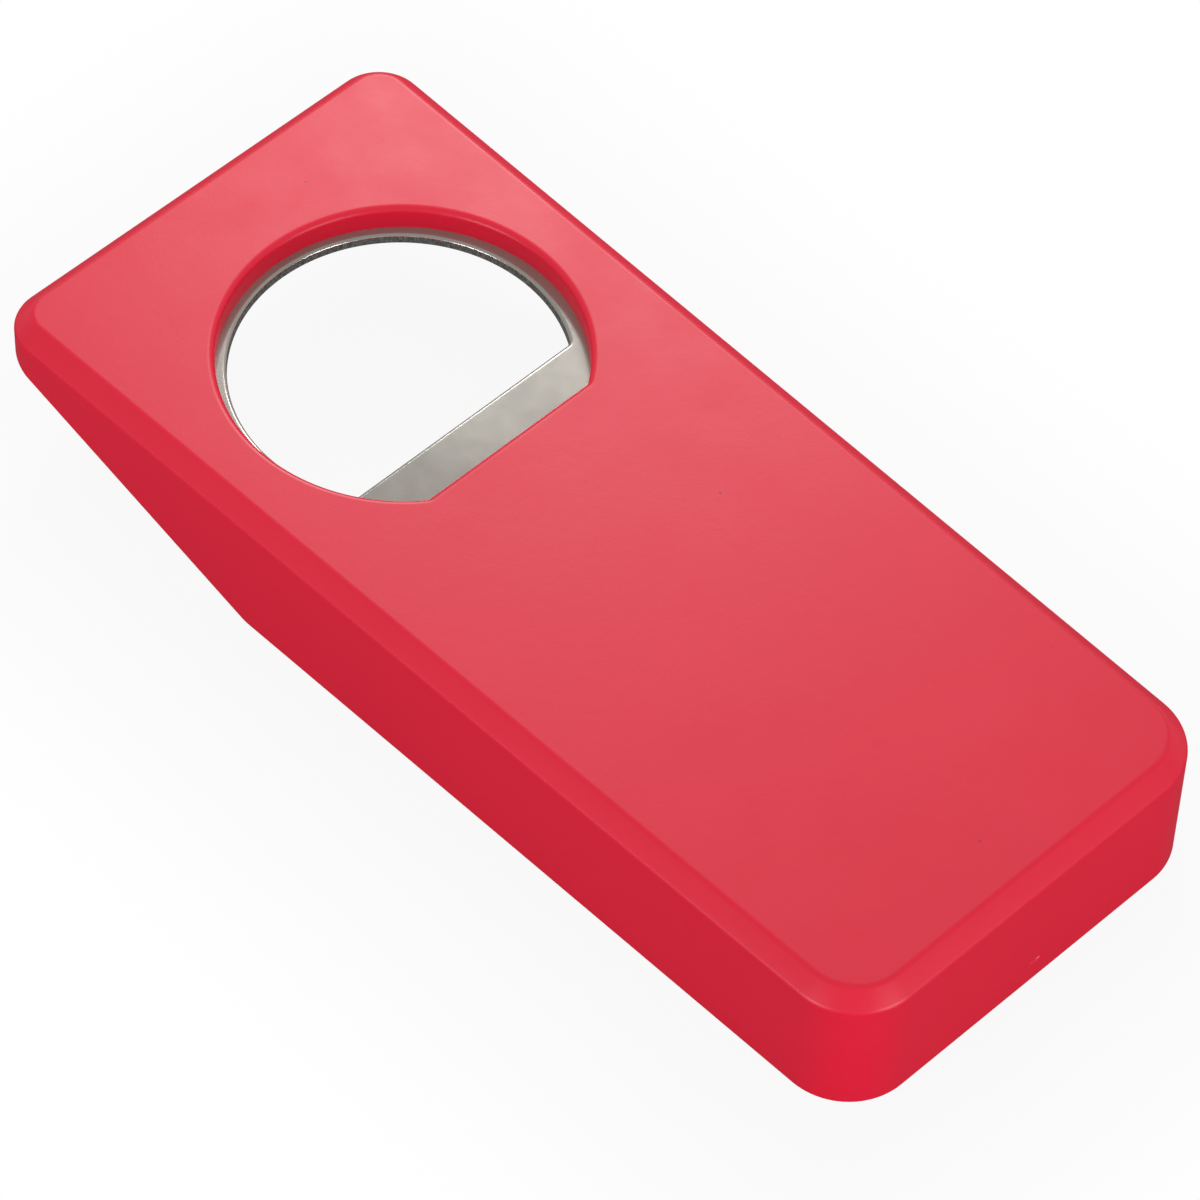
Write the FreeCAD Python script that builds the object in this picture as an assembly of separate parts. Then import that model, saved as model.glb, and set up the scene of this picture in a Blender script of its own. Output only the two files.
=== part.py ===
"""Hand-held crown-cap bottle opener: a hollow moulded grip around a flat steel plate.

Frame: +X runs from the thin tip to the handle end, +Y across the grip, +Z up out of the top face.
The origin is the centre of the bounding box at the underside. Every length is in millimetres.
Places along the grip are given as a distance from the tip, which along() turns into X.
"""
import FreeCAD
import Part
import math
import os

from FreeCAD import Vector

# Grip, outside
length = 122.0
tip_width = 54.0
handle_width = 50.4
thickness = 17.0
tip_thickness = 5.0
bend_from_tip = 37.3
tip_corner_radius = 5.0
handle_corner_radius = 7.5
rim_chamfer = 1.9
rim_edge_radius = 0.6

# Grip, inside
side_wall = 2.6
top_wall = 2.8
bulkhead_thickness = 2.4

# D-shaped hole in the top wall, flat on its handle side
hole_from_tip = 32.3
hole_radius = 19.1
hole_centre_to_flat = 15.6
hole_flat_corner_radius = 1.0
hole_rim_radius = 0.7

# Steel plate under the top wall, with a smaller D-shaped hole whose flat is the tooth
plate_thickness = 1.2
plate_clearance = 0.3
plate_ring_width = 1.45
plate_hole_offset = 0.4
plate_hole_centre_to_tooth = 9.45
tooth_corner_radius = 0.8

# Plate screws: a washer head on a plain core, in a short boss that stands through the plate
plate_screw_core_radius = 1.0
plate_screw_washer_radius = 3.3
plate_screw_washer_height = 0.8
plate_screw_head_radius = 2.4
plate_screw_head_height = 1.3
plate_screw_head_rounding = 0.8
plate_screw_recess_depth = 1.4
plate_screw_recess_radius = 1.5
plate_screw_edge_gap = 0.3
plate_screw_hole_gap = 2.0
tip_screws_from_hole = 21.0
plate_boss_wall = 1.2
plate_boss_shortfall = 0.1
plate_boss_clearance = 0.15
plate_pilot_skin = 0.9

# Base cover, dropped into a rebate in the underside of the handle
cover_thickness = 2.2
cover_ledge = 1.2
cover_gap = 0.1
cover_edge_chamfer = 0.3

# Cover screws: a countersunk head on a plain core, in a tall boss
cover_screw_core_radius = 1.2
cover_screw_head_radius = 2.7
cover_screw_sink = 0.2
cover_screw_length = 9.5
cover_screw_recess_depth = 1.5
cover_screw_recess_radius = 1.6
cover_screw_hole_clearance = 0.3
cover_boss_wall = 2.0
cover_boss_end_margin = 5.0
cover_boss_side_margin = 4.0
cover_boss_rib_thickness = 1.4

# Shared by both kinds of screw
pilot_clearance = 0.05
pilot_end_gap = 0.4
recess_arm_width = 0.8

# How far a cutting solid reaches past the face that it opens
overshoot = 1.0

# Levels and places that follow from the values above
inner_top = thickness - top_wall
plate_underside = inner_top - plate_thickness
plate_boss_radius = plate_screw_core_radius + plate_boss_wall
cover_boss_radius = cover_screw_core_radius + cover_boss_wall
plate_hole_radius = hole_radius - plate_ring_width
plate_hole_from_tip = hole_from_tip - plate_hole_offset


def along(from_tip):
    """X of a place at this distance from the tip."""
    return from_tip - length / 2


def side_slope():
    """How much half the width shrinks for each millimetre towards the handle end."""
    return (tip_width - handle_width) / 2 / length


def half_width(from_tip, inset=0.0):
    """Half the width at this distance from the tip, with both sides moved in by inset."""
    square_inset = inset * math.hypot(1, side_slope())
    return tip_width / 2 - side_slope() * from_tip - square_inset


def screws_from_hole(least):
    """Distance along the grip from hole centre to a pair of plate screws: at least this much,
    and enough to keep their bosses clear of the hole's rounded rim."""
    ring = hole_radius + hole_rim_radius + plate_screw_hole_gap + plate_boss_radius
    across = plate_screw_across(hole_from_tip)
    return max(least, math.sqrt(max(ring ** 2 - across ** 2, 0)))


def plate_screw_across(from_tip):
    """Distance of a plate screw from the centre line, set by its washer and the plate's edge."""
    edge = half_width(from_tip, side_wall + plate_clearance)
    return edge - plate_screw_washer_radius - plate_screw_edge_gap


tip_pair_from_tip = hole_from_tip - screws_from_hole(tip_screws_from_hole)
handle_pair_from_tip = hole_from_tip + screws_from_hole(hole_centre_to_flat)
plate_end_from_tip = handle_pair_from_tip + plate_screw_washer_radius + plate_screw_edge_gap
bulkhead_from_tip = plate_end_from_tip + plate_clearance
bulkhead_back_from_tip = bulkhead_from_tip + bulkhead_thickness


def plate_screw_places():
    """X and Y of the plate screws: one pair near the tip, one pair beside the tooth."""
    places = []
    for from_tip in (tip_pair_from_tip, handle_pair_from_tip):
        for side in (-1, 1):
            places.append((along(from_tip), side * plate_screw_across(from_tip)))
    return places


def cover_screw_places():
    """X and Y of the cover screws: one pair near each end of the cover."""
    near_bulkhead = bulkhead_back_from_tip + cover_boss_radius + cover_boss_end_margin
    near_end = length - side_wall - cover_boss_radius - cover_boss_end_margin
    places = []
    for from_tip in (near_bulkhead, near_end):
        across = half_width(from_tip, side_wall) - cover_boss_radius - cover_boss_side_margin
        for side in (-1, 1):
            places.append((along(from_tip), side * across))
    return places


def box_between(low, high):
    """Box from its lowest corner to its highest."""
    return Part.makeBox(high[0] - low[0], high[1] - low[1], high[2] - low[2], Vector(*low))


def post(radius, x, y, bottom, top):
    """Upright cylinder between two heights."""
    return Part.makeCylinder(radius, top - bottom, Vector(x, y, bottom))


def upright_edges(solid, x):
    """Straight edges that stand along Z at this X."""
    found = []
    for edge in solid.Edges:
        box = edge.BoundBox
        stands = box.ZLength > 0.1 and math.hypot(box.XLength, box.YLength) < 1e-6
        if stands and abs(box.Center.x - x) < 1e-3:
            found.append(edge)
    return found


def level_edges(solid, z):
    """Edges that lie flat at this height."""
    return [e for e in solid.Edges if e.BoundBox.ZLength < 1e-6 and abs(e.BoundBox.Center.z - z) < 1e-3]


def grip_prism(inset, bottom, top, start=0.0, stop=length):
    """Upright prism of the grip's plan, moved in by inset, between two distances from the tip.
    Its corners are rounded where it reaches the tip or the handle end."""
    first = max(inset, start)
    last = min(length - inset, stop)
    corners = [
        Vector(along(first), -half_width(first, inset), bottom),
        Vector(along(last), -half_width(last, inset), bottom),
        Vector(along(last), half_width(last, inset), bottom),
        Vector(along(first), half_width(first, inset), bottom),
    ]
    prism = Part.Face(Part.makePolygon(corners + corners[:1])).extrude(Vector(0, 0, top - bottom))
    if first == inset:
        prism = prism.makeFillet(tip_corner_radius - inset, upright_edges(prism, along(first)))
    if last == length - inset:
        prism = prism.makeFillet(handle_corner_radius - inset, upright_edges(prism, along(last)))
    return prism


def below_sloping_head():
    """Everything under the sloping underside of the head, from the bend to past the tip."""
    fall = (thickness - tip_thickness) / bend_from_tip
    reach = overshoot + bend_from_tip
    corners = [
        Vector(along(bend_from_tip), -tip_width, 0),
        Vector(along(-overshoot), -tip_width, fall * reach),
        Vector(along(-overshoot), -tip_width, -overshoot),
        Vector(along(bend_from_tip), -tip_width, -overshoot),
    ]
    return Part.Face(Part.makePolygon(corners + corners[:1])).extrude(Vector(0, 2 * tip_width, 0))


def d_prism(centre_from_tip, radius, centre_to_flat, corner_radius, bottom, top):
    """Upright cylinder cut flat on its handle side, with the two upright corners rounded."""
    flat_x = along(centre_from_tip + centre_to_flat)
    beyond_flat = box_between((flat_x, -radius, bottom), (flat_x + radius, radius, top))
    prism = post(radius, along(centre_from_tip), 0, bottom, top).cut(beyond_flat)
    return prism.makeFillet(corner_radius, upright_edges(prism, flat_x))


def cross_recess(radius, depth, x, y, surface_z):
    """Cross-shaped drive recess that opens downwards at surface_z and narrows to its floor."""
    across = box_between((-radius, -recess_arm_width / 2, 0), (radius, recess_arm_width / 2, depth))
    upward = across.copy()
    upward.rotate(Vector(0, 0, 0), Vector(0, 0, 1), 90)
    recess = across.fuse(upward).common(Part.makeCone(radius, recess_arm_width / 2, depth))
    recess.translate(Vector(x, y, surface_z))
    return recess


def make_outside():
    """The grip's outside as a solid block: soft-edged chamfer round the top, sloping head below."""
    block = grip_prism(0.0, 0.0, thickness)
    block = block.makeChamfer(rim_chamfer, level_edges(block, thickness))
    chamfer_edges = level_edges(block, thickness) + level_edges(block, thickness - rim_chamfer)
    block = block.makeFillet(rim_edge_radius, chamfer_edges)
    return block.cut(below_sloping_head())


def make_bulkhead():
    """Cross wall between the open head and the closed handle, let into both side walls."""
    half = half_width(bulkhead_from_tip, side_wall / 2)
    return box_between((along(bulkhead_from_tip), -half, 0), (along(bulkhead_back_from_tip), half, inner_top))


def make_cover_boss(x, y):
    """Tall boss for a cover screw, with a rib out to the side wall."""
    boss = post(cover_boss_radius, x, y, cover_thickness, inner_top)
    wall_y = half_width(x + length / 2, side_wall / 2)
    low_y, high_y = sorted((y, math.copysign(wall_y, y)))
    half_rib = cover_boss_rib_thickness / 2
    rib = box_between((x - half_rib, low_y, cover_thickness), (x + half_rib, high_y, inner_top))
    return boss.fuse(rib)


def on_hole_rim(edge):
    """True for a top edge of the D-shaped hole, false for one of the outer rim."""
    centre = Vector(along(hole_from_tip), 0, thickness)
    return all((v.Point - centre).Length < hole_radius + 0.01 for v in edge.Vertexes)


def make_body_shell():
    shell = make_outside().cut(grip_prism(side_wall, -overshoot, inner_top))
    shell = shell.fuse(make_bulkhead())
    for x, y in cover_screw_places():
        shell = shell.fuse(make_cover_boss(x, y))
        pilot_top = cover_screw_sink + cover_screw_length + pilot_end_gap
        shell = shell.cut(post(cover_screw_core_radius + pilot_clearance, x, y, 0, pilot_top))
    for x, y in plate_screw_places():
        shell = shell.fuse(post(plate_boss_radius, x, y, plate_underside + plate_boss_shortfall, inner_top))
        pilot_radius = plate_screw_core_radius + pilot_clearance
        shell = shell.cut(post(pilot_radius, x, y, plate_underside, thickness - plate_pilot_skin))

    rebate_inset = side_wall - cover_ledge
    rebate_start = bulkhead_back_from_tip - cover_ledge
    shell = shell.cut(grip_prism(rebate_inset, -overshoot, cover_thickness, rebate_start))

    shell = shell.cut(d_prism(hole_from_tip, hole_radius, hole_centre_to_flat, hole_flat_corner_radius,
                              inner_top - overshoot, thickness + overshoot))
    shell = shell.makeFillet(hole_rim_radius, [e for e in level_edges(shell, thickness) if on_hole_rim(e)])
    return shell.removeSplitter()


def make_opener_plate():
    inset = side_wall + plate_clearance
    plate = grip_prism(inset, plate_underside, inner_top, 0.0, plate_end_from_tip)
    low = plate_underside - overshoot
    high = inner_top + overshoot
    plate = plate.cut(d_prism(plate_hole_from_tip, plate_hole_radius, plate_hole_centre_to_tooth,
                              tooth_corner_radius, low, high))
    for x, y in plate_screw_places():
        plate = plate.cut(post(plate_boss_radius + plate_boss_clearance, x, y, low, high))
    return plate


def make_plate_screw(x, y):
    """The washer bears on the plate from below, and the core runs up inside its boss."""
    washer_low = plate_underside - plate_screw_washer_height
    head_low = washer_low - plate_screw_head_height
    core_top = thickness - plate_pilot_skin - pilot_end_gap
    head = post(plate_screw_head_radius, x, y, head_low, washer_low)
    head = head.makeFillet(plate_screw_head_rounding, level_edges(head, head_low))
    washer = post(plate_screw_washer_radius, x, y, washer_low, plate_underside)
    core = post(plate_screw_core_radius, x, y, plate_underside, core_top)
    recess = cross_recess(plate_screw_recess_radius, plate_screw_recess_depth, x, y, head_low)
    return head.fuse(washer).fuse(core).cut(recess).removeSplitter()


def countersunk_head(x, y):
    """90 degree countersunk head with its face sunk a little above the underside."""
    height = cover_screw_head_radius - cover_screw_core_radius
    return Part.makeCone(cover_screw_head_radius, cover_screw_core_radius, height,
                         Vector(x, y, cover_screw_sink))


def make_base_cover():
    inset = side_wall - cover_ledge + cover_gap
    start = bulkhead_back_from_tip - cover_ledge + cover_gap
    cover = grip_prism(inset, 0.0, cover_thickness, start)
    cover = cover.makeChamfer(cover_edge_chamfer, level_edges(cover, 0.0))
    for x, y in cover_screw_places():
        cover = cover.cut(post(cover_screw_head_radius, x, y, -overshoot, cover_screw_sink))
        cover = cover.cut(countersunk_head(x, y))
        cover = cover.cut(post(cover_screw_core_radius + cover_screw_hole_clearance, x, y,
                               0, cover_thickness + overshoot))
    return cover


def make_cover_screw(x, y):
    """The head sits in the cover's countersink, and the core runs up inside its boss."""
    core = post(cover_screw_core_radius, x, y, cover_screw_sink, cover_screw_sink + cover_screw_length)
    recess = cross_recess(cover_screw_recess_radius, cover_screw_recess_depth, x, y, cover_screw_sink)
    return countersunk_head(x, y).fuse(core).cut(recess).removeSplitter()


nodes = {
    "body_shell": make_body_shell(),
    "opener_plate": make_opener_plate(),
    "plate_screws": Part.Compound([make_plate_screw(x, y) for x, y in plate_screw_places()]),
    "base_cover": make_base_cover(),
    "cover_screws": Part.Compound([make_cover_screw(x, y) for x, y in cover_screw_places()]),
}

os.makedirs("parts", exist_ok=True)
for name, shape in nodes.items():
    shape.exportStep(f"parts/{name}.step")
    box = shape.BoundBox
    corners = [box.XMin, box.YMin, box.ZMin, box.XMax, box.YMax, box.ZMax]
    print(name, "solids", len(shape.Solids), "valid", shape.isValid(), "mm3", round(shape.Volume, 1),
          "box", [round(value, 2) for value in corners])
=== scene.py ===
import math

import bmesh
import bpy
import numpy as np
from mathutils import Matrix, Vector
from mathutils.geometry import tessellate_polygon


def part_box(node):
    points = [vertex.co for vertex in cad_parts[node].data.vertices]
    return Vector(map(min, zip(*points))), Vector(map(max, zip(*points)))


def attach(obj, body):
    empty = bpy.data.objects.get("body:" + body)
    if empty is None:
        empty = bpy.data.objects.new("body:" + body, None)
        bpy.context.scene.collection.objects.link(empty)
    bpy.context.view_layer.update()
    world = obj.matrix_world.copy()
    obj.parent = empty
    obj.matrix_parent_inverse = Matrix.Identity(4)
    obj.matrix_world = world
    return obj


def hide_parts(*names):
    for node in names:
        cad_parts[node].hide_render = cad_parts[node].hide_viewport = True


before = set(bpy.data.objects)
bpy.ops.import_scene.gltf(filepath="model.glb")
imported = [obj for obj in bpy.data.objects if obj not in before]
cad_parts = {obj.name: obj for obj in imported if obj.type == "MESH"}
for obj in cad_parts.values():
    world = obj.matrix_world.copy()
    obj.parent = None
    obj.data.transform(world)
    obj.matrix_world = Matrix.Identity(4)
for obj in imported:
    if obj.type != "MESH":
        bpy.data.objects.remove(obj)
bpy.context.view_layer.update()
MM = 0.001

# ---------------------------------------------------------------------------------------------
# Body shell: the whole red outside. One satin ABS moulding, open below, with a soft chamfer round
# its top, a D-shaped hole with a rolled rim, and a head whose underside slopes up to the tip.
# ---------------------------------------------------------------------------------------------
shell_low, shell_high = (np.array(corner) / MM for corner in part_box("body_shell"))
length = shell_high[0] - shell_low[0]
thickness = shell_high[2] - shell_low[2]
tip_x = shell_low[0]
tip_width = 54.0
handle_width = 50.4
tip_corner_radius = 5.0
handle_corner_radius = 7.5
side_wall = 2.6
inner_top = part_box("opener_plate")[1].z / MM
bend_x = tip_x + 37.3
tip_underside = thickness - 5.0
bend_softness = 0.7
side_slope = (tip_width - handle_width) / 2 / length

rim_chamfer = 1.9
rim_softness = 0.85
bottom_softness = 0.25
support = 0.12

hole_x = tip_x + 32.3
hole_radius = 19.1
hole_flat = 15.6
hole_corner_radius = 1.0
hole_rim_radius = 0.7

cover_low, cover_high = (np.array(corner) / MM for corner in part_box("base_cover"))
cover_thickness = cover_high[2] - cover_low[2]
cover_gap = 0.1
rebate_inset = 1.4
rebate_x = cover_low[0] - cover_gap
bulkhead_front_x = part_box("opener_plate")[1].x / MM + 0.3
bulkhead_back_x = bulkhead_front_x + 2.4

washer_radius = 3.3
plate_boss_radius = 2.2
plate_boss_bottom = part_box("opener_plate")[0].z / MM + 0.1
cover_head_radius = 2.7
cover_boss_radius = 3.2
rib_thickness = 1.4
ceiling_bite = 0.4
foot_lift = 0.03
wall_bite = 0.3
bulkhead_bite = 0.9
plate_bore_radius = 1.05
cover_bore_radius = 1.25

gate_centre = np.array([0.5, 3.1])
gate_half_size = np.array([0.8, 0.2])
gate_depth = 0.22
gate_span = 1.2
gate_margin = 0.2
gate_columns = 31


def underside_height(x):
    """Height of the grip's lowest edge: zero under the handle, a straight slope under the head,
    and a parabola that joins them smoothly over a short stretch at the bend."""
    slope = tip_underside / (bend_x - tip_x)
    before = bend_x - x
    joined = slope * (before + bend_softness) ** 2 / (4 * bend_softness)
    return np.where(before > bend_softness, slope * before, np.where(before < -bend_softness, 0.0, joined))


def arc(centre, radius, start, end, count):
    """Points on a circle from one angle to another, in degrees."""
    angle = np.radians(np.linspace(start, end, count))
    return np.stack([centre[0] + radius * np.cos(angle), centre[1] + radius * np.sin(angle)], 1)


def outline_side(inset):
    """Y of the long side, moved in by inset, as a function of X: a straight line that closes in
    from the tip to the handle end."""
    shift = inset * math.hypot(1, side_slope)
    return lambda x: tip_width / 2 - side_slope * (x - tip_x) - shift


def grip_outline(inset, stations, corner_steps=22):
    """Closed plan of the grip moved in by inset, anticlockwise from the tip's near corner. Sides are
    straight between four corner arcs; stations are the X of extra points along both long sides."""
    side = outline_side(inset)
    lean = math.degrees(math.atan(side_slope))
    end_x = tip_x + length - inset
    start_x = tip_x + inset
    tip_radius = tip_corner_radius - inset
    tip_centre_x = start_x + tip_radius
    tip_centre_y = side(tip_centre_x) - tip_radius * math.hypot(1, side_slope)
    points = [arc((tip_centre_x, -tip_centre_y), tip_radius, 180, 270 + lean, corner_steps),
              np.stack([stations, -side(stations)], 1)]
    handle_radius = handle_corner_radius - inset
    handle_centre_x = end_x - handle_radius
    handle_centre_y = side(handle_centre_x) - handle_radius * math.hypot(1, side_slope)
    points.append(arc((handle_centre_x, -handle_centre_y), handle_radius, 270 + lean, 360, corner_steps))
    gate_near, gate_far = gate_centre[0] - gate_span, gate_centre[0] + gate_span
    end_y = np.concatenate([np.linspace(-handle_centre_y, gate_near - gate_margin, 4)[1:],
                            np.linspace(gate_near, gate_far, gate_columns),
                            np.linspace(gate_far + gate_margin, handle_centre_y, 4)[:-1]])
    points.append(np.stack([np.full(len(end_y), end_x), end_y], 1))
    points.append(arc((handle_centre_x, handle_centre_y), handle_radius, 0, 90 - lean, corner_steps))
    points.append(np.stack([stations[::-1], side(stations[::-1])], 1))
    points.append(arc((tip_centre_x, tip_centre_y), tip_radius, 90 - lean, 180, corner_steps))
    return np.concatenate(points)


def d_outline(centre_x, radius, flat, corner_radius, grow, steps=120):
    """Closed D, anticlockwise: a circle cut by a straight line at flat beyond its centre, with both
    corners rounded. grow moves the whole outline outwards."""
    rounding = corner_radius + grow
    inner = radius - corner_radius
    corner_y = math.sqrt(inner ** 2 - (flat - corner_radius) ** 2)
    corner = np.array([centre_x + flat - corner_radius, corner_y])
    turn = math.degrees(math.atan2(corner_y, flat - corner_radius))
    top_corner = arc(corner, rounding, 0, turn, 10)
    big = arc((centre_x, 0), radius + grow, turn, 360 - turn, steps)[1:-1]
    low_corner = arc(corner * (1, -1), rounding, -turn, 0, 10)
    line = np.stack([np.full(9, corner[0] + rounding), np.linspace(-corner_y, corner_y, 11)[1:-1]], 1)
    return np.concatenate([top_corner, big, low_corner, line])


def rings_to_quads(ring_count, ring_size, first=0):
    """Quads between neighbouring closed rings, the last point of each ring joined to its first."""
    ring, point = np.meshgrid(np.arange(ring_count - 1), np.arange(ring_size), indexing="ij")
    following = (point + 1) % ring_size
    low = first + ring * ring_size
    high = low + ring_size
    return np.stack([low + point, low + following, high + following, high + point], -1).reshape(-1, 4)


def flat_fill(loops, height):
    """Triangles that fill a flat region: the first loop is its outside, the others are holes."""
    outlines = [[Vector((x, y, 0)) for x, y in loop] for loop in loops]
    triangles = np.array(tessellate_polygon(outlines))
    points = np.concatenate(loops)
    return np.column_stack([points, np.full(len(points), height)]), triangles


def solid_mesh(name, patches, sharp_degrees=32):
    """One closed smooth mesh from patches of (points in millimetres, faces): doubles are merged,
    faces turned outwards, and edges sharper than the given angle kept crisp."""
    mesh = bpy.data.meshes.new(name)
    points = np.concatenate([p for p, _ in patches]) * MM
    starts = np.cumsum([0] + [len(p) for p, _ in patches[:-1]])
    faces = []
    for (_, patch_faces), start in zip(patches, starts):
        faces += (np.asarray(patch_faces) + start).tolist()
    mesh.from_pydata(points.tolist(), [], faces)
    work = bmesh.new()
    work.from_mesh(mesh)
    bmesh.ops.remove_doubles(work, verts=work.verts, dist=2e-6)
    bmesh.ops.dissolve_degenerate(work, edges=work.edges, dist=1e-7)
    bmesh.ops.recalc_face_normals(work, faces=work.faces)
    work.to_mesh(mesh)
    work.free()
    mesh.shade_smooth()
    mesh.set_sharp_from_angle(angle=math.radians(sharp_degrees))
    piece = bpy.data.objects.new(name, mesh)
    bpy.context.scene.collection.objects.link(piece)
    return piece


def fillet(corner, before, after, radius, count=7):
    """Points of a rounded corner of a profile: the arc of this radius that touches both the line
    from before to corner and the line from corner to after."""
    corner, before, after = (np.array(p, float) for p in (corner, before, after))
    towards = (before - corner) / np.linalg.norm(before - corner)
    away = (after - corner) / np.linalg.norm(after - corner)
    half = math.acos(np.clip(towards @ away, -1, 1)) / 2
    centre = corner + (towards + away) / np.linalg.norm(towards + away) * radius / math.sin(half)
    first = corner + towards * radius / math.tan(half) - centre
    last = corner + away * radius / math.tan(half) - centre
    sweep = math.atan2(first[0] * last[1] - first[1] * last[0], first @ last)
    angle = np.linspace(0, sweep, count)
    cos, sin = np.cos(angle), np.sin(angle)
    return centre + np.stack([first[0] * cos - first[1] * sin, first[0] * sin + first[1] * cos], 1)


def gate_mark(points):
    """Trimmed moulding gate on the end face: a shallow oval hollow with a quick slope at its edge."""
    offset = (points[:, 1:] - gate_centre) / gate_half_size
    depth = gate_depth / (1 + (offset ** 2).sum(1) ** 3)
    on_end = points[:, 0] > tip_x + length - 0.01
    points[:, 0] -= np.where(on_end, depth, 0)
    return points


def shell_outside():
    """The outer skin from the top face down to the lower lip, as rings of the plan: each ring is
    the plan moved in by the profile's inset at the profile's height."""
    stations = np.sort(np.concatenate([
        bend_x + np.linspace(-bend_softness, bend_softness, 9),
        [rebate_x - 0.01, rebate_x + 0.01],
        np.linspace(tip_x + 8, tip_x + length - 12, 12)]))
    top = np.array([rim_chamfer, thickness])
    wall = np.array([0.0, thickness - rim_chamfer])
    soft_top = fillet(top, (rim_chamfer + 2, thickness), wall, rim_softness)
    soft_wall = fillet(wall, top, (0.0, 0.0), rim_softness)
    upper = np.concatenate([[soft_top[0] + (support, 0)], soft_top,
                            soft_wall, [soft_wall[-1] - (0, support)]])
    outline = []
    for inset, height in upper:
        ring = grip_outline(inset, stations)
        outline.append(np.column_stack([ring, np.full(len(ring), height)]))
    edge = grip_outline(0.0, stations)
    floor_height = underside_height(edge[:, 0])
    lowest_fixed = tip_underside + 0.6
    for height in np.linspace(upper[-1][1], lowest_fixed, 3)[1:]:
        outline.append(np.column_stack([edge, np.full(len(edge), height)]))
    low = floor_height + bottom_softness + support
    gate_share = (lowest_fixed - gate_centre[1]) / (lowest_fixed - bottom_softness - support)
    for share in np.unique(np.concatenate([np.linspace(0, 1, 16)[1:-1],
                                           gate_share + np.linspace(-0.05, 0.05, 19)])):
        outline.append(np.column_stack([edge, lowest_fixed + (low - lowest_fixed) * share]))
    lip = fillet((0.0, 0.0), (0.0, 3.0), (3.0, 0.0), bottom_softness, 5)
    lip = np.concatenate([[lip[0] + (0, support)], lip, [lip[-1] + (support, 0)]])
    for inset, height in lip:
        ring = grip_outline(inset, stations)
        outline.append(np.column_stack([ring, underside_height(ring[:, 0]) + height]))
    return [gate_mark(ring) for ring in outline], stations


def shell_inside(stations):
    """The inner skin from the lower lip up to the ceiling. Under the handle the lip is stepped for
    the base cover; under the head it runs straight up."""
    rings = []
    probe = grip_outline(side_wall, stations)
    in_handle = probe[:, 0] > rebate_x
    for inset, height, head_lift in ((rebate_inset, 0.0, 0.0), (rebate_inset, cover_thickness, 0.5),
                                     (side_wall, cover_thickness, 1.0)):
        ring = np.where(in_handle[:, None], grip_outline(inset, stations), probe)
        head_height = underside_height(ring[:, 0]) + head_lift
        rings.append(np.column_stack([ring, np.where(in_handle, height, head_height)]))
    rings.append(np.column_stack([probe, np.full(len(probe), inner_top)]))
    return rings


def shell_bulkhead():
    """The cross wall in front of the base cover: an L-shaped section carried across the inside, its
    ends let into both side walls."""
    section = np.array([[bulkhead_front_x, foot_lift], [rebate_x, foot_lift], [rebate_x, cover_thickness],
                        [bulkhead_back_x, cover_thickness],
                        [bulkhead_back_x, inner_top + ceiling_bite],
                        [bulkhead_front_x, inner_top + ceiling_bite]])
    reach = outline_side(side_wall - bulkhead_bite)(bulkhead_front_x)
    ends = [np.column_stack([section[:, 0], np.full(6, y), section[:, 1]]) for y in (-reach, reach)]
    sides = rings_to_quads(2, 6)
    caps = [[0, 1, 2, 5], [2, 3, 4, 5], [6, 7, 8, 11], [8, 9, 10, 11]]
    return np.concatenate(ends), sides, caps


def screw_places(node, head):
    """Centres of a node's four screws: its box's corners moved in by the head's radius. The pair
    nearer the handle end sits further in, by the grip's taper."""
    low, high = (np.array(corner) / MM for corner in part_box(node))
    low_x, high_x = low[0] + head, high[0] - head
    wide_y = high[1] - head
    narrow_y = wide_y - side_slope * (high_x - low_x)
    return [(low_x, -wide_y), (low_x, wide_y), (high_x, -narrow_y), (high_x, narrow_y)]


def shell_boss(x, y, radius, bottom, bore, steps=40):
    """A screw boss: a tube let into the ceiling, its open end at the bottom, its bore blind."""
    circle = arc((0, 0), 1, 0, 360, steps + 1)[:-1]
    roof = inner_top + ceiling_bite
    blind = inner_top - ceiling_bite
    levels = [(radius, roof), (radius, bottom), (bore, bottom), (bore, blind)]
    rings = [np.column_stack([circle * r + (x, y), np.full(steps, z)]) for r, z in levels]
    points = np.concatenate(rings + [np.array([[x, y, blind], [x, y, roof]])])
    index = np.arange(steps)
    after = (index + 1) % steps
    fans = [np.stack([3 * steps + index, 3 * steps + after, np.full(steps, 4 * steps)], 1),
            np.stack([index, after, np.full(steps, 4 * steps + 1)], 1)]
    return [(points, rings_to_quads(4, steps)), (points, np.concatenate(fans))]


def shell_rib(x, y):
    """An upright rib from a cover-screw boss out to the side wall: a box, its sides as one ring of
    quads and its ends as two faces."""
    reach = outline_side(side_wall - wall_bite)(x)
    start = abs(y) + cover_boss_radius - 2 * wall_bite
    near, far = x - rib_thickness / 2, x + rib_thickness / 2
    plan = np.array([[near, start], [far, start], [far, reach], [near, reach]]) * (1, math.copysign(1, y))
    levels = (cover_thickness, inner_top + ceiling_bite)
    points = np.concatenate([np.column_stack([plan, np.full(4, z)]) for z in levels])
    return [(points, rings_to_quads(2, 4)), (points, [[0, 1, 2, 3], [4, 5, 6, 7]])]


outside_rings, stations = shell_outside()
inside_rings = shell_inside(stations)
hole_profile = fillet((0.0, thickness), (0.0, inner_top), (3.0, thickness), hole_rim_radius, 9)
hole_profile = np.concatenate([[(0.0, inner_top)], [hole_profile[0] - (0, support)], hole_profile,
                               [hole_profile[-1] + (support, 0)]])
hole_rings = []
for grow, height in hole_profile:
    ring = d_outline(hole_x, hole_radius, hole_flat, hole_corner_radius, grow)
    hole_rings.append(np.column_stack([ring, np.full(len(ring), height)]))

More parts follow.
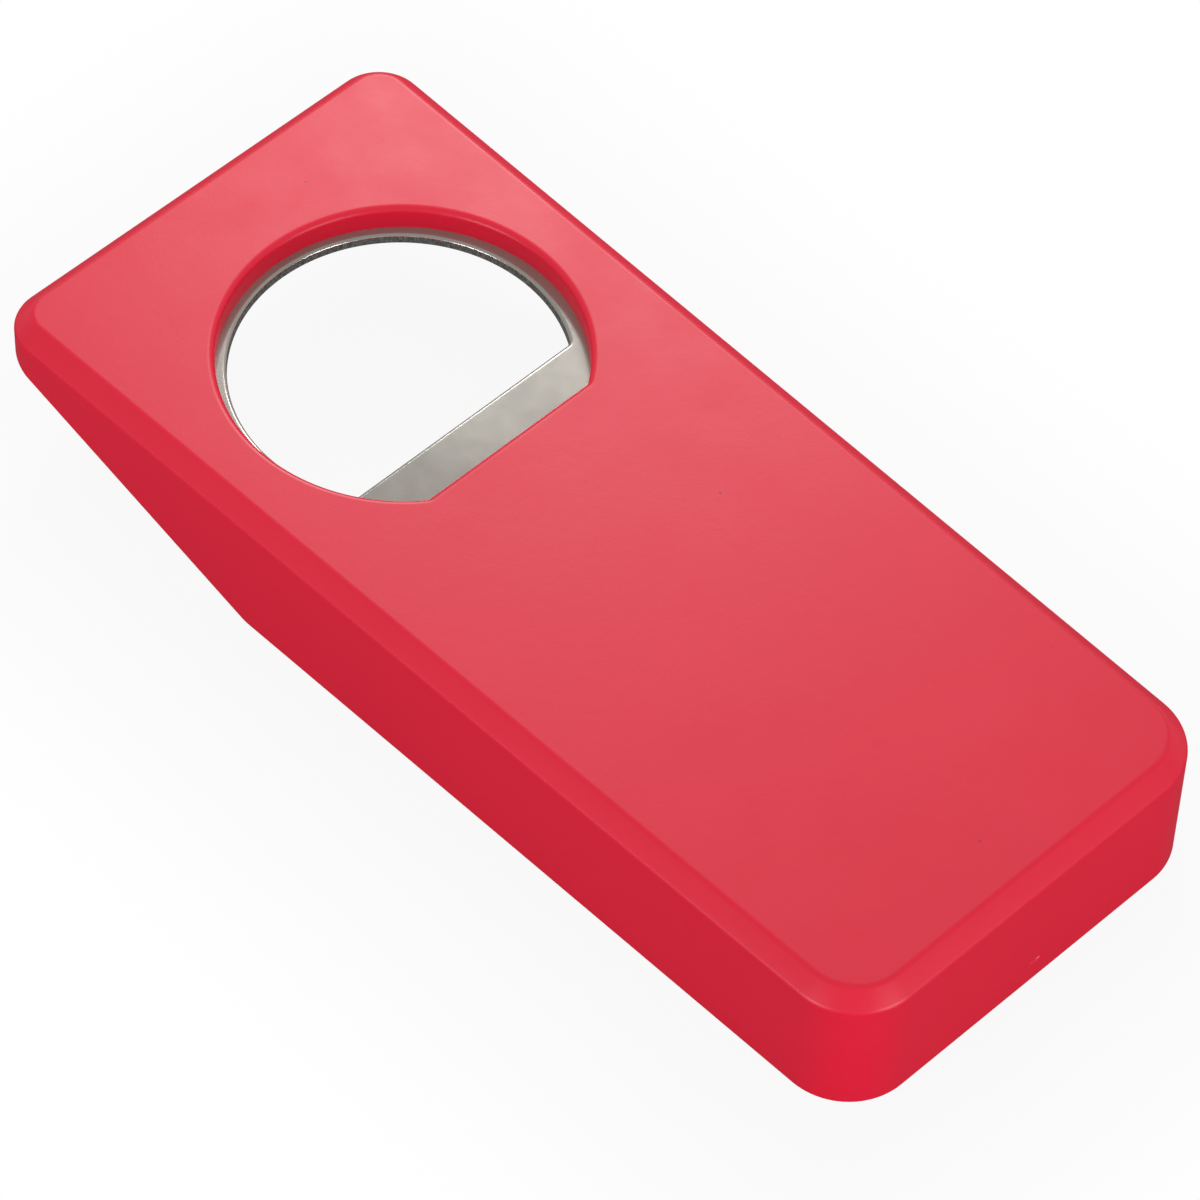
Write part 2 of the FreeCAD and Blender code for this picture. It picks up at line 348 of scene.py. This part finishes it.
patches = []
for rings in (outside_rings + inside_rings, hole_rings):
    patches.append((np.concatenate(rings), rings_to_quads(len(rings), len(rings[0]))))
patches.append(flat_fill([outside_rings[0][:, :2], hole_rings[-1][:, :2]], thickness))
patches.append(flat_fill([inside_rings[-1][:, :2], hole_rings[0][:, :2]], inner_top))
bulkhead_points, bulkhead_sides, bulkhead_caps = shell_bulkhead()
patches.append((bulkhead_points, bulkhead_sides))
patches.append((bulkhead_points, bulkhead_caps))
for x, y in screw_places("plate_screws", washer_radius):
    patches += shell_boss(x, y, plate_boss_radius, plate_boss_bottom, plate_bore_radius)
for x, y in screw_places("cover_screws", cover_head_radius):
    patches += shell_boss(x, y, cover_boss_radius, cover_thickness, cover_bore_radius)
    patches += shell_rib(x, y)
body_shell = solid_mesh("body_shell_skin", patches)


def moulded_plastic(name, colour, roughness, peel, grain, speck_amount):
    """Satin ABS: a saturated colour with faint clouding, long soft orange peel, fine mould grain,
    and a few tiny dark specks. Distances are in metres on Object coordinates."""
    material = bpy.data.materials.new(name)
    material.use_nodes = True
    tree = material.node_tree
    shader = tree.nodes["Principled BSDF"]
    place = tree.nodes.new("ShaderNodeTexCoord").outputs["Object"]

    def noise(scale, detail=2.0):
        node = tree.nodes.new("ShaderNodeTexNoise")
        node.inputs["Scale"].default_value = scale
        node.inputs["Detail"].default_value = detail
        tree.links.new(place, node.inputs["Vector"])
        return node.outputs["Fac"]

    def remap(value, low, high, out_low, out_high):
        node = tree.nodes.new("ShaderNodeMapRange")
        node.inputs["From Min"].default_value = low
        node.inputs["From Max"].default_value = high
        node.inputs["To Min"].default_value = out_low
        node.inputs["To Max"].default_value = out_high
        tree.links.new(value, node.inputs["Value"])
        return node.outputs["Result"]

    def bump(height, distance, normal=None):
        node = tree.nodes.new("ShaderNodeBump")
        node.inputs["Distance"].default_value = distance
        tree.links.new(height, node.inputs["Height"])
        if normal:
            tree.links.new(normal, node.inputs["Normal"])
        return node.outputs["Normal"]

    specks = tree.nodes.new("ShaderNodeTexVoronoi")
    specks.inputs["Scale"].default_value = 130.0
    tree.links.new(place, specks.inputs["Vector"])
    speck_mask = remap(specks.outputs["Distance"], 0.016, 0.03, speck_amount, 0.0)
    mix = tree.nodes.new("ShaderNodeMix")
    mix.data_type = "RGBA"
    mix.inputs["A"].default_value = (*colour, 1)
    mix.inputs["B"].default_value = (*(c * 0.35 for c in colour), 1)
    tree.links.new(speck_mask, mix.inputs["Factor"])
    cloud = tree.nodes.new("ShaderNodeHueSaturation")
    tree.links.new(remap(noise(45.0), 0.3, 0.7, 0.985, 1.015), cloud.inputs["Value"])
    tree.links.new(mix.outputs["Result"], cloud.inputs["Color"])
    tree.links.new(cloud.outputs["Color"], shader.inputs["Base Color"])
    tree.links.new(remap(noise(160.0), 0.3, 0.7, roughness - 0.03, roughness + 0.03),
                   shader.inputs["Roughness"])
    peel_normal = bump(noise(700.0, 1.0), peel)
    tree.links.new(bump(noise(5200.0, 2.0), grain, peel_normal), shader.inputs["Normal"])
    shader.inputs["Specular IOR Level"].default_value = 0.4
    return material


shell_plastic = moulded_plastic("red_satin_abs", (0.69, 0.004, 0.031), 0.39, 0.000005, 0.000006, 0.6)
body_shell.data.materials.append(shell_plastic)
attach(body_shell, "root")
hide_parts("body_shell")

# ---------------------------------------------------------------------------------------------
# Opener plate: stainless sheet pressed flat under the top wall. The die has rolled its upper edge
# over and left a grainy broken band below it; the straight stretch is the tooth.
# ---------------------------------------------------------------------------------------------
plate_low, plate_high = (np.array(corner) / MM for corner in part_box("opener_plate"))
plate_inset = plate_low[0] - tip_x
hole_shift = 0.4
ledge = 1.45
plate_hole_x = hole_x - hole_shift
plate_hole_radius = hole_radius - ledge
tooth_flat = 9.45
tooth_corner_radius = 0.8
roll_over = 0.38
plate_edge = 0.1
plate_screw_low, plate_screw_high = (np.array(corner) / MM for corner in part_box("plate_screws"))
boss_gap = 0.15


def plate_outline(inset):
    """Closed plan of the plate: the grip's plan moved in, its corners rounded at the tip, and cut
    square in front of the bulkhead."""
    side = outline_side(plate_inset + inset)
    lean = math.degrees(math.atan(side_slope))
    radius = tip_corner_radius - plate_inset - inset
    centre_x = tip_x + plate_inset + inset + radius
    centre_y = side(centre_x) - radius * math.hypot(1, side_slope)
    end_x = plate_high[0] - inset
    near = arc((centre_x, -centre_y), radius, 180, 270 + lean, 14)
    far = arc((centre_x, centre_y), radius, 90 - lean, 180, 14)
    ends = np.array([[end_x, -side(end_x)], [end_x, side(end_x)]])
    return np.concatenate([near, ends, far])


def circle_outline(x, y, radius, steps=48):
    """Closed circle, anticlockwise."""
    return arc((x, y), radius, 0, 360, steps + 1)[:-1]


def pierced_sheet(outer, holes, bottom, top):
    """Patches of a flat sheet. outer and each hole is (outline as a function of how far it is drawn
    into the metal, profile of (distance into the metal, height) from the bottom face to the top)."""
    patches = []
    low_loops, high_loops = [], []
    for outline, profile in [outer] + holes:
        rings = [np.column_stack([outline(into), np.full(len(outline(into)), z)]) for into, z in profile]
        patches.append((np.concatenate(rings), rings_to_quads(len(rings), len(rings[0]))))
        low_loops.append(rings[0][:, :2])
        high_loops.append(rings[-1][:, :2])
    patches.append(flat_fill(low_loops, bottom))
    patches.append(flat_fill(high_loops, top))
    return patches


def edge_profile(bottom, top, low_radius, high_radius, count=7):
    """Upright edge with a rounded corner at each face, from the bottom face to the top face."""
    low = fillet((0.0, bottom), (2.0, bottom), (0.0, top), low_radius, count)
    high = fillet((0.0, top), (0.0, bottom), (2.0, top), high_radius, count)
    return np.concatenate([[low[0] + (support, 0)], low, high, [high[-1] + (support, 0)]])


plain_edge = edge_profile(plate_low[2], plate_high[2], plate_edge, plate_edge)
punched_edge = edge_profile(plate_low[2], plate_high[2], plate_edge, roll_over, 10)


def tooth_outline(into):
    """Closed plan of the plate's D-shaped hole, drawn into the metal."""
    return d_outline(plate_hole_x, plate_hole_radius, tooth_flat, tooth_corner_radius, into)


def round_hole(x, y, radius, steps=48):
    """Plan of a round hole as a function of how far it is drawn into the metal."""
    return lambda into: circle_outline(x, y, radius + into, steps)


plate_holes = [(tooth_outline, punched_edge)]
for x, y in screw_places("plate_screws", washer_radius):
    plate_holes.append((round_hole(x, y, plate_boss_radius + boss_gap), plain_edge))
plate_patches = pierced_sheet((plate_outline, plain_edge), plate_holes, plate_low[2], plate_high[2])
opener_plate = solid_mesh("opener_plate_sheet", plate_patches, 40)


def rolled_steel(name, colour, roughness, scratch, grain):
    """Stainless sheet: a satin rolled face with fine grain drawn out along the sheet and faint
    cloudy patches. Its dulled surface scatters part of the light, so it is not fully metallic."""
    material = bpy.data.materials.new(name)
    material.use_nodes = True
    tree = material.node_tree
    shader = tree.nodes["Principled BSDF"]
    shader.inputs["Metallic"].default_value = 0.48
    place = tree.nodes.new("ShaderNodeTexCoord").outputs["Object"]

    def noise(scale, detail=2.0, stretch=(1, 1, 1)):
        mapping = tree.nodes.new("ShaderNodeMapping")
        mapping.inputs["Scale"].default_value = stretch
        tree.links.new(place, mapping.inputs["Vector"])
        node = tree.nodes.new("ShaderNodeTexNoise")
        node.inputs["Scale"].default_value = scale
        node.inputs["Detail"].default_value = detail
        tree.links.new(mapping.outputs["Vector"], node.inputs["Vector"])
        return node.outputs["Fac"]

    def ramp(value, stops):
        node = tree.nodes.new("ShaderNodeValToRGB")
        for element, (position, shade) in zip(node.color_ramp.elements, stops):
            element.position = position
            element.color = (*shade, 1)
        tree.links.new(value, node.inputs["Fac"])
        return node.outputs["Color"]

    def scaled(colour, factor):
        return tuple(c * factor for c in colour)

    patches = ramp(noise(55.0, 1.0, (0.35, 1.0, 1.0)),
                   ((0.38, scaled(colour, 0.86)), (0.62, scaled(colour, 1.12))))
    tree.links.new(patches, shader.inputs["Base Color"])
    rough = tree.nodes.new("ShaderNodeMapRange")
    rough.inputs["To Min"].default_value = roughness - 0.03
    rough.inputs["To Max"].default_value = roughness + 0.03
    tree.links.new(noise(500.0, 3.0), rough.inputs["Value"])
    tree.links.new(rough.outputs["Result"], shader.inputs["Roughness"])
    first = tree.nodes.new("ShaderNodeBump")
    first.inputs["Distance"].default_value = grain
    tree.links.new(noise(2600.0, 3.0), first.inputs["Height"])
    second = tree.nodes.new("ShaderNodeBump")
    second.inputs["Distance"].default_value = scratch
    tree.links.new(noise(1500.0, 2.0, (0.08, 1.0, 1.0)), second.inputs["Height"])
    tree.links.new(first.outputs["Normal"], second.inputs["Normal"])
    tree.links.new(second.outputs["Normal"], shader.inputs["Normal"])
    return material


def broken_steel(name, colour):
    """The punched wall: bright and dark torn grains, slightly drawn out up the wall, with a low
    bump of the same grain. The grains are the metal's own; the colour it is given is set light as
    painted light, to make up for the shade inside the hole."""
    material = bpy.data.materials.new(name)
    material.use_nodes = True
    tree = material.node_tree
    shader = tree.nodes["Principled BSDF"]
    shader.inputs["Metallic"].default_value = 1.0
    shader.inputs["Roughness"].default_value = 0.2
    place = tree.nodes.new("ShaderNodeTexCoord").outputs["Object"]
    mapping = tree.nodes.new("ShaderNodeMapping")
    mapping.inputs["Scale"].default_value = (1, 1, 0.55)
    tree.links.new(place, mapping.inputs["Vector"])
    grains = tree.nodes.new("ShaderNodeTexNoise")
    grains.inputs["Scale"].default_value = 3600.0
    grains.inputs["Detail"].default_value = 4.0
    grains.inputs["Roughness"].default_value = 0.7
    tree.links.new(mapping.outputs["Vector"], grains.inputs["Vector"])
    shades = tree.nodes.new("ShaderNodeValToRGB")
    shades.color_ramp.elements[0].position = 0.36
    shades.color_ramp.elements[0].color = (*(c * 0.45 for c in colour), 1)
    shades.color_ramp.elements[1].position = 0.66
    shades.color_ramp.elements[1].color = (*(min(1, c * 1.35) for c in colour), 1)
    tree.links.new(grains.outputs["Fac"], shades.inputs["Fac"])
    tree.links.new(shades.outputs["Color"], shader.inputs["Base Color"])
    torn = tree.nodes.new("ShaderNodeBump")
    torn.inputs["Distance"].default_value = 0.00001
    tree.links.new(grains.outputs["Fac"], torn.inputs["Height"])
    tree.links.new(torn.outputs["Normal"], shader.inputs["Normal"])
    return material


rolled_colour = (0.37, 0.357, 0.318)
# The torn wall's colour is set light: painted light that makes up for the shade inside the hole; its light
# and dark grains are the metal's own.
torn_colour_painted_lighter = (0.78, 0.76, 0.7)
opener_plate.data.materials.append(
    rolled_steel("satin_rolled_steel", rolled_colour, 0.16, 0.0000015, 0.0000015))
opener_plate.data.materials.append(broken_steel("punched_steel_wall_painted_lighter", torn_colour_painted_lighter))
face_count = len(opener_plate.data.polygons)
centres = np.empty(face_count * 3)
normals = np.empty(face_count * 3)
opener_plate.data.polygons.foreach_get("center", centres)
opener_plate.data.polygons.foreach_get("normal", normals)
from_hole = centres.reshape(-1, 3)[:, :2] / MM - (plate_hole_x, 0)
in_hole = np.hypot(from_hole[:, 0], from_hole[:, 1]) < plate_hole_radius + roll_over
steepest = 0.45
upright = np.abs(normals.reshape(-1, 3)[:, 2]) < steepest
opener_plate.data.polygons.foreach_set("material_index", (in_hole & upright).astype(np.int32))
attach(opener_plate, "root")
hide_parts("opener_plate")

# ---------------------------------------------------------------------------------------------
# Plate screws: four thread-forming screws with washer heads and cross recesses, zinc plated. They
# clamp the plate up against the top wall from inside the head.
# ---------------------------------------------------------------------------------------------
washer_z = plate_low[2]
washer_height = 0.8
pan_radius = 2.4
core_radius = 1.0
core_top = plate_screw_high[2]
recess_arm = 0.4
recess_lip = 0.06
recess_flare = 0.08
pan_recess_radius = 1.5
pan_recess_depth = 1.4


def cross_radius(angle, arm_length, arm_half_width):
    """Distance from the centre to the edge of a cross at each angle: the further of two crossed
    rectangles."""
    cos = np.abs(np.cos(angle)) + 1e-9
    sin = np.abs(np.sin(angle)) + 1e-9
    along_x = np.minimum(arm_length / cos, arm_half_width / sin)
    along_y = np.minimum(arm_length / sin, arm_half_width / cos)
    return np.maximum(along_x, along_y)


def screw_patches(x, y, turn, recess_radius, recess_depth, face_z, outside):
    """Patches of one screw: a round profile of (radius, height) from the head's face up to the
    core's end, and a cross recess sunk into the face whose arms shorten with depth."""
    corner = math.atan2(recess_arm, recess_radius)
    base = np.linspace(0, math.pi / 2, 17)[:-1]
    special = np.array([corner * 0.5, corner, math.pi / 4, math.pi / 2 - corner, math.pi / 2 - corner * 0.5])
    quarter = np.unique(np.round(np.concatenate([base, special]), 6))
    angle = np.concatenate([quarter + k * math.pi / 2 for k in range(4)])
    direction = np.stack([np.cos(angle + turn), np.sin(angle + turn)], 1)
    steps = len(angle)
    radii, heights = [], []
    for share in (1.0, 0.85, 0.5, 0.15, 0.0):
        depth = recess_depth * share
        reach = recess_radius + (recess_arm - recess_radius) * share * 0.9
        radii.append(cross_radius(angle, reach, recess_arm * (1 - 0.25 * share)))
        heights.append(face_z + max(depth, recess_lip))
    radii.append(cross_radius(angle, recess_radius + recess_flare, recess_arm + recess_flare))
    heights.append(face_z)
    for radius, height in outside:
        radii.append(np.full(steps, radius))
        heights.append(height)
    rings = [np.column_stack([direction * radius[:, None] + (x, y), np.full(steps, height)])
             for radius, height in zip(radii, heights)]
    points = np.concatenate(rings + [np.array([[x, y, heights[0]], [x, y, heights[-1]]])])
    index = np.arange(steps)
    after = (index + 1) % steps
    last = (len(rings) - 1) * steps
    fans = np.concatenate([np.stack([after, index, np.full(steps, len(points) - 2)], 1),
                           np.stack([last + index, last + after, np.full(steps, len(points) - 1)], 1)])
    return [(points, rings_to_quads(len(rings), steps)), (points, fans)]


def rounded_profile(corners, radii, count=5):
    """Profile through the corners, each rounded by its own radius; a radius of 0 keeps it sharp."""
    points = [np.array(corners[0], float)]
    for before, corner, after, radius in zip(corners, corners[1:], corners[2:], radii):
        points.extend(fillet(corner, before, after, radius, count) if radius else [np.array(corner, float)])
    points.append(np.array(corners[-1], float))
    return points


pan_face = plate_screw_low[2]
pan_profile = rounded_profile(
    [(pan_radius * 0.72, pan_face), (pan_radius, pan_face), (pan_radius, washer_z - washer_height),
     (washer_radius, washer_z - washer_height), (washer_radius, washer_z), (core_radius, washer_z),
     (core_radius, core_top - 0.5), (core_radius * 0.4, core_top)],
    [0.8, 0.12, 0.15, 0.08, 0, 0])
recess_rim = pan_recess_radius + recess_flare
pan_profile = [(p[0], p[1]) for p in pan_profile if p[0] > recess_rim or p[1] > pan_face + 1]
screw_turns = (0.35, 1.1, 0.75, 0.1)
patches = []
for (x, y), turn in zip(screw_places("plate_screws", washer_radius), screw_turns):
    patches += screw_patches(x, y, turn, pan_recess_radius, pan_recess_depth, pan_face, pan_profile)
plate_screws = solid_mesh("plate_screws_set", patches, 35)


def zinc_plate(name, colour, roughness):
    """Bright zinc plate: pale bluish metal, slightly cloudy in colour and roughness."""
    material = bpy.data.materials.new(name)
    material.use_nodes = True
    tree = material.node_tree
    shader = tree.nodes["Principled BSDF"]
    shader.inputs["Metallic"].default_value = 1.0
    place = tree.nodes.new("ShaderNodeTexCoord").outputs["Object"]
    cloud = tree.nodes.new("ShaderNodeTexNoise")
    cloud.inputs["Scale"].default_value = 900.0
    tree.links.new(place, cloud.inputs["Vector"])
    shades = tree.nodes.new("ShaderNodeValToRGB")
    shades.color_ramp.elements[0].position = 0.3
    shades.color_ramp.elements[0].color = (*(c * 0.85 for c in colour), 1)
    shades.color_ramp.elements[1].position = 0.7
    shades.color_ramp.elements[1].color = (*colour, 1)
    tree.links.new(cloud.outputs["Fac"], shades.inputs["Fac"])
    tree.links.new(shades.outputs["Color"], shader.inputs["Base Color"])
    rough = tree.nodes.new("ShaderNodeMapRange")
    rough.inputs["To Min"].default_value = roughness - 0.08
    rough.inputs["To Max"].default_value = roughness + 0.08
    tree.links.new(cloud.outputs["Fac"], rough.inputs["Value"])
    tree.links.new(rough.outputs["Result"], shader.inputs["Roughness"])
    return material


zinc = zinc_plate("zinc_plated_screw", (0.58, 0.59, 0.6), 0.3)
plate_screws.data.materials.append(zinc)
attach(plate_screws, "root")
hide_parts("plate_screws")

# ---------------------------------------------------------------------------------------------
# Base cover: a flat ABS moulding dropped flush into the rebate under the handle, with a fine spark
# texture, a soft edge that leaves a thin parting groove, and four countersunk screw holes.
# ---------------------------------------------------------------------------------------------
cover_inset = rebate_inset + cover_gap
cover_edge = 0.3
cover_screw_low, cover_screw_high = (np.array(corner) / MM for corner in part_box("cover_screws"))
head_sink = 0.2
head_core = 1.2
hole_clearance = 0.3


def cover_outline(inset):
    """Closed plan of the cover: the grip's plan moved in, square at the bulkhead and rounded at the
    handle end."""
    side = outline_side(cover_inset + inset)
    lean = math.degrees(math.atan(side_slope))
    radius = handle_corner_radius - cover_inset - inset
    centre_x = tip_x + length - cover_inset - inset - radius
    centre_y = side(centre_x) - radius * math.hypot(1, side_slope)
    start_x = cover_low[0] + inset
    near = arc((centre_x, -centre_y), radius, 270 + lean, 360, 20)
    far = arc((centre_x, centre_y), radius, 0, 90 - lean, 20)
    return np.concatenate([[(start_x, -side(start_x))], near, far, [(start_x, side(start_x))]])


cover_edge_profile = edge_profile(cover_low[2], cover_high[2], cover_edge, 0.1)
seat = cover_head_radius - head_core - hole_clearance
countersink = np.array([(seat + 0.35, 0.0), (seat + 0.2, 0.0), (seat + 0.06, 0.03), (seat, 0.1),
                        (seat, head_sink), (0.0, head_sink + seat), (0.0, cover_thickness - 0.2),
                        (0.0, cover_thickness)])
cover_holes = []
for x, y in screw_places("cover_screws", cover_head_radius):
    cover_holes.append((round_hole(x, y, head_core + hole_clearance, 56), countersink))
cover_patches = pierced_sheet((cover_outline, cover_edge_profile), cover_holes, cover_low[2], cover_high[2])
base_cover = solid_mesh("base_cover_panel", cover_patches, 32)
base_cover.data.materials.append(
    moulded_plastic("red_textured_abs", (0.66, 0.004, 0.027), 0.55, 0.00003, 0.00004, 0.3))
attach(base_cover, "root")
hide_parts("base_cover")

# ---------------------------------------------------------------------------------------------
# Cover screws: four countersunk thread-forming screws with cross recesses, zinc plated, their
# heads just below the face of the cover.
# ---------------------------------------------------------------------------------------------
head_face = cover_screw_low[2]
flat_recess_radius = 1.6
flat_recess_depth = 1.5
head_profile = rounded_profile(
    [(1.9, head_face), (cover_head_radius - 0.02, head_face),
     (head_core, head_face + cover_head_radius - head_core), (head_core, cover_screw_high[2] - 0.6),
     (head_core * 0.4, cover_screw_high[2])],
    [0.12, 0, 0])
head_profile = [(p[0], p[1]) for p in head_profile]
patches = []
for (x, y), turn in zip(screw_places("cover_screws", cover_head_radius), reversed(screw_turns)):
    patches += screw_patches(x, y, turn, flat_recess_radius, flat_recess_depth, head_face, head_profile)
cover_screws = solid_mesh("cover_screws_set", patches, 35)
cover_screws.data.materials.append(zinc)
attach(cover_screws, "root")
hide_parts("cover_screws")

# ---------------------------------------------------------------------------------------------
# Stage: a wide pale floor, a grey sky and three soft boxes. The floor is white to the camera and to
# reflections away from the object. Close round it the camera sees a little of its real shading, with
# the shadow, and reflections see it dimmed, a painted shadow.
# ---------------------------------------------------------------------------------------------
floor_gap = 0.00002
bpy.ops.mesh.primitive_plane_add(size=12.0, location=(0, 0, -floor_gap))
floor = bpy.context.object
floor.name = "studio_floor"
floor_material = bpy.data.materials.new("pale_floor")
floor_material.use_nodes = True
tree = floor_material.node_tree
tree.nodes.clear()
output = tree.nodes.new("ShaderNodeOutputMaterial")
matt = tree.nodes.new("ShaderNodeBsdfDiffuse")
matt.inputs["Color"].default_value = (0.5, 0.5, 0.5, 1)
glow = tree.nodes.new("ShaderNodeEmission")
path = tree.nodes.new("ShaderNodeLightPath")
place = tree.nodes.new("ShaderNodeTexCoord")


def node_math(operation, first, second):
    """One arithmetic node; either input may be a socket or a number."""
    node = tree.nodes.new("ShaderNodeMath")
    node.operation = operation
    for socket, value in zip(node.inputs, (first, second)):
        if isinstance(value, (int, float)):
            socket.default_value = value
        else:
            tree.links.new(value, socket)
    return node.outputs["Value"]


def spread(start, end):
    """Smooth rise from 0 to 1 between two distances from the object's plan, in metres."""
    rise = tree.nodes.new("ShaderNodeMapRange")
    rise.interpolation_type = "SMOOTHSTEP"
    rise.inputs["From Min"].default_value = start
    rise.inputs["From Max"].default_value = end
    tree.links.new(distance, rise.inputs["Value"])
    return rise.outputs["Result"]


axes = tree.nodes.new("ShaderNodeSeparateXYZ")
tree.links.new(place.outputs["Object"], axes.inputs["Vector"])
half_length, half_width = length / 2 * MM, tip_width / 2 * MM
from_x = node_math("ABSOLUTE", axes.outputs["X"], 0)
from_y = node_math("ABSOLUTE", axes.outputs["Y"], 0)
past_x = node_math("MAXIMUM", node_math("SUBTRACT", from_x, half_length), 0)
past_y = node_math("MAXIMUM", node_math("SUBTRACT", from_y, half_width), 0)
squares = node_math("ADD", node_math("POWER", past_x, 2), node_math("POWER", past_y, 2))
distance = node_math("SQRT", squares, 0)
shown_white = node_math("MULTIPLY", path.outputs["Is Camera Ray"],
                        node_math("ADD", 0.92, node_math("MULTIPLY", spread(0.0, 0.04), 0.08)))
mirrored = node_math("MAXIMUM", path.outputs["Is Glossy Ray"], path.outputs["Is Transmission Ray"])
# In reflections the floor glows white away from the object and dims to 0.12 close round it: a painted
# shadow.
reflected_glow_painted_shadow = node_math("MAXIMUM", spread(0.03, 0.2), 0.12)
tree.links.new(node_math("MAXIMUM", path.outputs["Is Camera Ray"], reflected_glow_painted_shadow), glow.inputs["Strength"])
mix = tree.nodes.new("ShaderNodeMixShader")
tree.links.new(node_math("MAXIMUM", shown_white, mirrored), mix.inputs["Fac"])
tree.links.new(matt.outputs["BSDF"], mix.inputs[1])
tree.links.new(glow.outputs["Emission"], mix.inputs[2])
tree.links.new(mix.outputs["Shader"], output.inputs["Surface"])
floor.data.materials.append(floor_material)

world = bpy.data.worlds.new("grey_sky")
world.use_nodes = True
world.node_tree.nodes["Background"].inputs["Color"].default_value = (0.69, 0.69, 0.69, 1)
bpy.context.scene.world = world

middle = Vector((0, 0, thickness / 2 * MM))


def soft_box(name, bearing, height, distance, size, radiance):
    """Square area lamp facing the object, from a bearing clockwise from +Y and a height in degrees:
    its power gives the panel this radiance."""
    lamp = bpy.data.lights.new(name, "AREA")
    lamp.shape = "SQUARE"
    lamp.size = size
    lamp.energy = radiance * math.pi * size ** 2
    holder = bpy.data.objects.new(name, lamp)
    holder.visible_camera = False
    bpy.context.scene.collection.objects.link(holder)
    level = math.cos(math.radians(height))
    away = Vector((math.sin(math.radians(bearing)) * level, math.cos(math.radians(bearing)) * level,
                   math.sin(math.radians(height))))
    holder.location = middle + away * distance
    holder.rotation_euler = away.to_track_quat("Z", "Y").to_euler()


soft_box("key_box", -45, 36, 0.42, 0.13, 14.0)
soft_box("side_fill", 178, 4, 0.7, 0.3, 8.4)
soft_box("end_fill", 90, 3, 0.7, 0.3, 10.5)

azimuth = math.radians(44.18)
elevation = math.radians(51.98)
roll = math.radians(-2.37)
back = Vector((math.sin(azimuth) * math.cos(elevation), -math.cos(azimuth) * math.cos(elevation),
               math.sin(elevation)))
level_right = Vector((0, 0, 1)).cross(back).normalized()
level_up = back.cross(level_right)
right = level_right * math.cos(roll) - level_up * math.sin(roll)
up = level_right * math.sin(roll) + level_up * math.cos(roll)
camera_data = bpy.data.cameras.new("camera")
camera_distance = 0.660
camera_data.lens = 196.9
camera_data.sensor_width = 36.0
camera_data.shift_x = 0.00233
camera_data.shift_y = -0.0280
camera = bpy.data.objects.new("camera", camera_data)
bpy.context.scene.collection.objects.link(camera)
turn = Matrix((right, up, back)).transposed().to_4x4()
camera.matrix_world = Matrix.Translation(middle + back * camera_distance) @ turn
bpy.context.scene.camera = camera
bpy.context.scene.view_settings.view_transform = "Standard"

bpy.context.view_layer.update()
